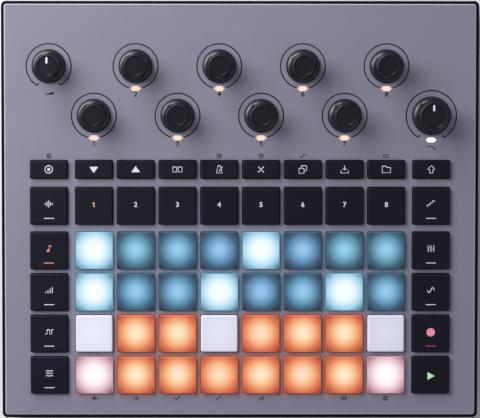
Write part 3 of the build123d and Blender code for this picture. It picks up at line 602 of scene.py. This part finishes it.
UNIT = 0.5 * MM
STOP_ANGLE = math.radians(STOPPED_GAP / 2)
STOP_REACH = (22.5, 19.9)
WAVE = ((-4, 0.9), (-2, 2.6), (0, 3.8), (2, 2.0), (4, 0.9))
SIGNS = {
    "target": [closed(*circle(3.6))],
    "metronome": [closed((-2.8, -3.4), (2.8, -3.4), (1.0, 3.6), (-1.0, 3.6)), [(0, -1.8), (3.2, 2.6)]],
    "cross": [[(-2.8, -2.8), (2.8, 2.8)], [(-2.8, 2.8), (2.8, -2.8)]],
    "copies": [box(-3.6, -3.6, 1.2, 1.2),
               [(-1.2, 1.2), (-1.2, 3.6), (3.6, 3.6), (3.6, -1.2), (1.2, -1.2)]],
    "store": [[(0, 3.8), (0, -0.9)], [(-1.8, 0.9), (0, -0.9), (1.8, 0.9)],
              [(-3.6, -1.0), (-3.6, -3.4), (3.6, -3.4), (3.6, -1.0)]],
    "folder": [closed((-4.0, -3.0), (4.0, -3.0), (4.0, 2.0), (0.4, 2.0), (-0.8, 3.2), (-4.0, 3.2))],
    "shift": [closed((0, 3.8), (3.6, 0.2), (1.6, 0.2), (1.6, -3.4), (-1.6, -3.4), (-1.6, 0.2), (-3.6, 0.2))],
    "pages": [box(-4.4, -2.4, -0.8, 2.4), box(0.8, -2.4, 4.4, 2.4)],
    "wave": [[(step, -tall), (step, tall)] for step, tall in WAVE],
    "steps": [[(-4.2, -3.2), (-4.2, -1.2), (-1.4, -1.2), (-1.4, 1.0), (1.4, 1.0), (1.4, 3.2), (4.2, 3.2)]],
    "note": [[(0.3, -2.2), (0.3, 3.8), (2.6, 2.0)]],
    "rising": [[(-3.6 + 2.4 * bar, -3.2), (-3.6 + 2.4 * bar, -1.6 + 1.7 * bar)] for bar in range(4)],
    "gate": [[(-4.4, -2.4), (-2.4, -2.4), (-2.4, 2.4), (0.4, 2.4),
              (0.4, -2.4), (2.8, -2.4), (2.8, 2.4), (4.4, 2.4)]],
    "sliders": [[(-4, level), (4, level)] for level in (2.8, 0.0, -2.8)],
    "faders": [[(level, -3.6), (level, 3.6)] for level in (-3.0, 0.0, 3.0)],
    "sine": [[(step / 4, 2.8 * math.sin(step / 4 * math.pi / 4)) for step in range(-16, 17)]],
    "dash": [[(-5.0, 0), (5.0, 0)]],
    "one": [[(-1.6, 1.9), (0.3, 3.2), (0.3, -3.2)]],
    "slope": [[(-5.0, 1.6), (0.4, 1.6), (1.8, 1.2), (2.8, 0.2), (4.4, -2.4)]],
    "clock": [closed(*circle(3.4)), [(0, 2.0), (0, 0), (1.6, -0.9)]],
    "grid": [box(u, v, u + 2.6, v + 2.6) for u in (-3.4, 0.8) for v in (-3.4, 0.8)],
    "stops": [[(side * reach * math.sin(STOP_ANGLE), -reach * math.cos(STOP_ANGLE)) for reach in STOP_REACH]
              for side in (-1, 1)],
}
DOTS = {
    "target": [(0, 0, 1.5)],
    "note": [(-1.0, -2.4, 1.5)],
    "sliders": [(-1.8, 2.8, 1.1), (2.0, 0.0, 1.1), (-0.4, -2.8, 1.1)],
    "faders": [(-3.0, 1.6, 1.1), (0.0, -1.4, 1.1), (3.0, 0.4, 1.1)],
    "record": [(0, 0, 3.4)],
}
SOLID_SIGNS = {
    "down": [(0, -3.4), (4.2, 2.6), (-4.2, 2.6)], "up": [(-4.2, -2.6), (4.2, -2.6), (0, 3.4)],
    "play": [(3.6, 0), (-2.6, 3.4), (-2.6, -3.4)], "wedge": [(-5.6, -1.4), (5.6, -1.4), (5.6, 1.8)],
}
print("signs", len(SIGNS) + len(SOLID_SIGNS))

# %% [markdown]
# A second small tree lays a strip of ink along every line, as a pen would. Dots and solid signs are thin
# slabs of ink. A list of signs is printed in one ink as one piece, which rides on the body under it.

# %% A pen for the signs
pen, given = new_tree("printed_line", "Line", "Ink")
path = pen.node("GeometryNodeMeshToCurve", {}, {"Mesh": given["Geometry"]})
close_tree(pen, strip(pen, given, path), given["Finish"])


def prism(mesh, outline, z):
    """A thin closed slab of ink with this outline, centred on the height z."""
    low = [mesh.verts.new((x, y, z - INK / 2)) for x, y in outline]
    top = [mesh.verts.new((x, y, z + INK / 2)) for x, y in outline]
    mesh.faces.new(top)
    mesh.faces.new(low[::-1])
    for here in range(len(outline)):
        there = (here + 1) % len(outline)
        mesh.faces.new((low[here], low[there], top[there], top[here]))


def inked_piece(name, mesh, ink, body):
    """Gives a mesh its ink and lets it ride on a body."""
    mesh.materials.clear()
    mesh.materials.append(ink.material)
    piece = placed(name, mesh)
    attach(piece, body)


def shape_mesh(name, shape):
    """Turns a finished bmesh into a mesh."""
    mesh = bpy.data.meshes.new(name)
    shape.to_mesh(mesh)
    shape.free()
    return mesh


def legend(name, body, ink, marks, height, line_mm=0.42):
    """Prints a list of (sign, x mm, y mm, scale) at one height, as one piece that rides on a body."""
    points, edges = [], []
    filled = bmesh.new()
    for sign, x, y, scale in marks:
        def place(u, v):
            return (x * MM + u * UNIT * scale, y * MM + v * UNIT * scale)
        for stroke in SIGNS.get(sign, []):
            first = len(points)
            loop = stroke[0] == stroke[-1]
            points += [(*place(u, v), height) for u, v in (stroke[:-1] if loop else stroke)]
            edges += [(n, n + 1) for n in range(first, len(points) - 1)]
            if loop:
                edges.append((len(points) - 1, first))
        for u, v, radius in DOTS.get(sign, []):
            prism(filled, [place(*spot) for spot in circle(radius, u, v)], height)
        if sign in SOLID_SIGNS:
            prism(filled, [place(u, v) for u, v in SOLID_SIGNS[sign]], height)
    if edges:
        sizes = {"Line": line_mm * MM, "Ink": INK, "Finish": ink.material}
        filled.from_mesh(grow(name + "_lines", pen, sizes, points, edges))
    mesh = shape_mesh(name, filled)
    inked_piece(name, mesh, ink, body)
    print(name, "faces", len(mesh.polygons))


print("pen ready")

# %% [markdown]
# The half-height keys have one sign each. The square keys down both sides have a sign and, apart from the
# play key, a short dash in front of it for their second use. The note key is lit orange, the record key
# pink over red, and the play key green.

# %% Signs on the keys
white_ink = printed("white_ink", (222, 222, 228))
lit_orange_ink = printed("lit_orange_ink", (236, 152, 116))
peach_ink = printed("lit_peach_ink", (252, 200, 172))
pink_ink = printed("lit_pink_ink", (252, 150, 178))
red_ink = printed("lit_red_ink", (206, 64, 78))
green_ink = printed("lit_green_ink", (196, 255, 196))
columns = [middle(f"pad_{n:02d}").x / MM for n in range(1, 9)]
front, second, third, rear = [middle(f"pad_{n:02d}").y / MM for n in (1, 9, 17, 25)]
left_x, right_x = middle("left_keys").x / MM, middle("right_keys").x / MM
function_y, track_y = middle("function_row_keys").y / MM, middle("track_row_keys").y / MM
KEY_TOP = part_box("left_keys")[1].z
HALF_KEY_SCALE, SQUARE_KEY_SCALE, DASH_SCALE = 1.05, 0.9, 1.0
SIGN_RISE, DASH_DROP = 1.0, 6.3
RECORD_RISE, RECORD_SCALE, PLAY_DROP, PLAY_SCALE = 0.7, 1.25, 0.4, 1.15

FUNCTIONS = ["target", "down", "up", "pages", "metronome", "cross", "copies", "store", "folder", "shift"]
function_signs = zip(FUNCTIONS, [left_x, *columns, right_x])
legend("function_signs", "function_row_keys", white_ink,
       [(sign, x, function_y, HALF_KEY_SCALE) for sign, x in function_signs], KEY_TOP)


def square_signs(name, body, ink, signs):
    """Signs at (sign, x mm, y mm) on square keys, each with a dash in front of it."""
    marks = [(sign, x, y + SIGN_RISE, SQUARE_KEY_SCALE) for sign, x, y in signs]
    marks += [("dash", x, y - DASH_DROP, DASH_SCALE) for _, x, y in signs]
    legend(name, body, ink, marks, KEY_TOP)


square_signs("track_signs", "track_row_keys", white_ink,
             [("wave", left_x, track_y), ("steps", right_x, track_y)])
square_signs("left_signs", "left_keys", white_ink,
             [("sliders", left_x, front), ("gate", left_x, second), ("rising", left_x, third)])
square_signs("left_lit_sign", "left_keys", lit_orange_ink, [("note", left_x, rear)])
square_signs("right_signs", "right_keys", white_ink, [("sine", right_x, third), ("faders", right_x, rear)])
legend("record_sign", "right_keys", pink_ink,
       [("record", right_x, second + RECORD_RISE, RECORD_SCALE)], KEY_TOP)
legend("record_dash", "right_keys", red_ink, [("dash", right_x, second - DASH_DROP, DASH_SCALE)], KEY_TOP)
legend("play_sign", "right_keys", green_ink, [("play", right_x, front - PLAY_DROP, PLAY_SCALE)], KEY_TOP)

# %% [markdown]
# On the panel the signs are dark: the ends of the two open rings, a sign in front of each dial with end
# stops, and small signs behind the half-height keys and in front of the pads.

# %% Signs on the panel
VOLUME_SIGN_REACH, FILTER_SIGN_REACH, DIAL_SIGN_SCALE = 13.6, 16.2, 0.9
SMALL_SCALE, SMALL_LINE, BEHIND_KEYS, BEFORE_PADS = 0.62, 0.4, 6.8, 11.9


def in_front(place, distance_mm):
    """The point this far in front of a place, in millimetres."""
    return place.x / MM, place.y / MM - distance_mm


legend("stop_marks", "case", dark_ink, [
    ("stops", *in_front(volume, 0), 1.0),
    ("stops", *in_front(large, 0), LARGE_RING_RADIUS / RING_RADIUS)], PANEL_TOP, RING_LINE)
legend("dial_signs", "case", dark_ink, [
    ("wedge", *in_front(volume, VOLUME_SIGN_REACH), DIAL_SIGN_SCALE),
    ("slope", *in_front(large, FILTER_SIGN_REACH), DIAL_SIGN_SCALE)], PANEL_TOP)
behind_keys = zip(("grid", "target", "clock", "sine", "pages"), (left_x, *columns[3:6], columns[7]))
before_pads = zip(("wave", "gate", "sine", "steps", "rising", "faders", "sliders"), columns[:5] + columns[6:])
small_signs = [(sign, x, function_y + BEHIND_KEYS, SMALL_SCALE) for sign, x in behind_keys]
small_signs += [(sign, x, front - BEFORE_PADS, SMALL_SCALE) for sign, x in before_pads]
legend("panel_signs", "case", dark_ink, small_signs, PANEL_TOP, SMALL_LINE)

# %% [markdown]
# Numbers are real type: a text curve with a little thickness, turned into a mesh at once. The pen
# draws the ones, because they want a flag.

# %% Plain numbers
NUMBER_RISE, KEY_NUMBER, DIAL_NUMBER, DIAL_NUMBER_REACH = 0.55, 3.4, 3.5, 14.1
KEY_ONE, DIAL_ONE, ONE_LINE = 0.72, 0.74, 0.5
TYPE_WEIGHT, TYPE_STEPS = 0.07, 4


def number(name, body, ink, word, place_mm, size_mm, height):
    """Prints a word of type, centred on a place."""
    text = bpy.data.curves.new(name + "_type", "FONT")
    text.body = word
    text.size = size_mm * MM
    text.align_x = "CENTER"
    text.align_y = "CENTER"
    text.extrude = INK / 2
    text.offset = TYPE_WEIGHT * MM
    text.resolution_u = TYPE_STEPS
    mesh = plain_mesh(placed(name + "_type", text))
    x, y = place_mm
    for vertex in mesh.vertices:
        vertex.co += Vector((x * MM, y * MM, height))
    inked_piece(name, mesh, ink, body)


key_places = [(x, track_y + NUMBER_RISE) for x in columns]
dial_places = [in_front(spot, DIAL_NUMBER_REACH) for spot in encoders]
legend("track_number_1", "track_row_keys", peach_ink, [("one", *key_places[0], KEY_ONE)], KEY_TOP, ONE_LINE)
legend("dial_number_1", "case", dark_ink, [("one", *dial_places[0], DIAL_ONE)], PANEL_TOP, ONE_LINE)
for n in range(2, 9):
    number(f"track_number_{n}", "track_row_keys", white_ink, str(n), key_places[n - 1], KEY_NUMBER, KEY_TOP)
    number(f"dial_number_{n}", "case", dark_ink, str(n), dial_places[n - 1], DIAL_NUMBER, PANEL_TOP)
print("numbers printed", len(key_places) + len(dial_places))

# %% [markdown]
# The two dials with end stops have a groove across their dish, filled with white paint. The paint is a
# bar with round ends, laid on the groove's floor just under the level of the dish.

# %% Pointers
POINTER_HALF, POINTER_LENGTH, POINTER_MARGIN, GROOVE_FLOOR = 0.5, 3.2, 0.1, 0.7
VOLUME_DISH, FILTER_DISH = 4.45, 5.65
white_paint = printed("white_paint", (250, 250, 252), 0.3)


def pointer(name, node, centre, dish_mm):
    """White paint in a groove that ends at the edge of a dish with this radius."""
    cap = circle(POINTER_HALF)
    half_turn = len(cap) // 2
    end = dish_mm - POINTER_MARGIN
    outline = [(u, end - POINTER_HALF + v) for u, v in cap[:half_turn + 1]]
    outline += [(u, end - POINTER_LENGTH + POINTER_HALF + v) for u, v in cap[half_turn:] + cap[:1]]
    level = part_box(node)[1].z - GROOVE_FLOOR * MM + 2 * INK
    paint = bmesh.new()
    prism(paint, [(centre.x + u * MM, centre.y + v * MM) for u, v in outline], level)
    inked_piece(name, shape_mesh(name, paint), white_paint, node)
    print(name, "corners", len(outline))


pointer("volume_pointer", "volume_dial", volume, VOLUME_DISH)
pointer("filter_pointer", "filter_dial", large, FILTER_DISH)

# %% [markdown]
# A studio table: a wide pale floor, one soft light behind and to the left as the shadows show, a lower
# one behind it for the shine on the dials, a weak fill from the front right, and an even grey sky.

# %% Floor and light
FLOOR_HALF = 4.0
WARM, COOL = (1.0, 0.99, 0.98), (0.96, 0.97, 1.0)
SKY = (0.29, 0.29, 0.33, 1)
floor_mesh = bpy.data.meshes.new("floor")
corners = [(x * FLOOR_HALF, y * FLOOR_HALF, 0) for x, y in ((-1, -1), (1, -1), (1, 1), (-1, 1))]
floor_mesh.from_pydata(corners, [], [(0, 1, 2, 3)])
paper = grained("floor_paper", (226, 226, 228), (236, 236, 238), roughness=0.8, grain_mm=1.2, depth_mm=0.02)
floor_mesh.materials.append(paper.material)
floor = placed("floor", floor_mesh)


def soft_light(name, place, target, size, power, tint):
    """A round area light at a place, turned towards a target."""
    lamp = bpy.data.lights.new(name, "AREA")
    lamp.shape = "DISK"
    lamp.size = size
    lamp.energy = power
    lamp.color = tint
    holder = placed(name, lamp)
    holder.location = place
    holder.rotation_euler = (Vector(target) - Vector(place)).to_track_quat("-Z", "Y").to_euler()
    holder.visible_camera = False


soft_light("key_light", place=(-0.46, 0.31, 0.5), target=(-0.02, 0.02, 0.03), size=0.48, power=4.8, tint=WARM)
soft_light("edge_light", place=(-0.42, 0.9, 0.38), target=(0, 0.05, 0.03), size=0.45, power=5.0, tint=WARM)
soft_light("fill_light", place=(0.8, -0.7, 0.9), target=(0, 0, 0.03), size=0.9, power=1.0, tint=COOL)
sky = bpy.data.worlds.new("studio_sky")
sky.use_nodes = True
background = sky.node_tree.nodes["Background"].inputs
background["Color"].default_value = SKY
background["Strength"].default_value = 1.0
scene.world = sky
scene.view_settings.view_transform = "Standard"
print("lights", len(bpy.data.lights))

# %% [markdown]
# The camera looks almost straight down through a long lens, a little from behind and from the left.

# %% Camera
LENS, SENSOR = 176.93, 36.0
CAMERA_PLACE = (-0.00870, 0.06049, 1.21513)
CAMERA_TURN = (-2.893, -0.416, 0.023)
lens = bpy.data.cameras.new("camera")
lens.sensor_width = SENSOR
lens.sensor_fit = "HORIZONTAL"
lens.lens = LENS
camera = placed("camera", lens)
camera.location = CAMERA_PLACE
camera.rotation_euler = [math.radians(turn) for turn in CAMERA_TURN]
scene.camera = camera
print("camera lens", LENS)
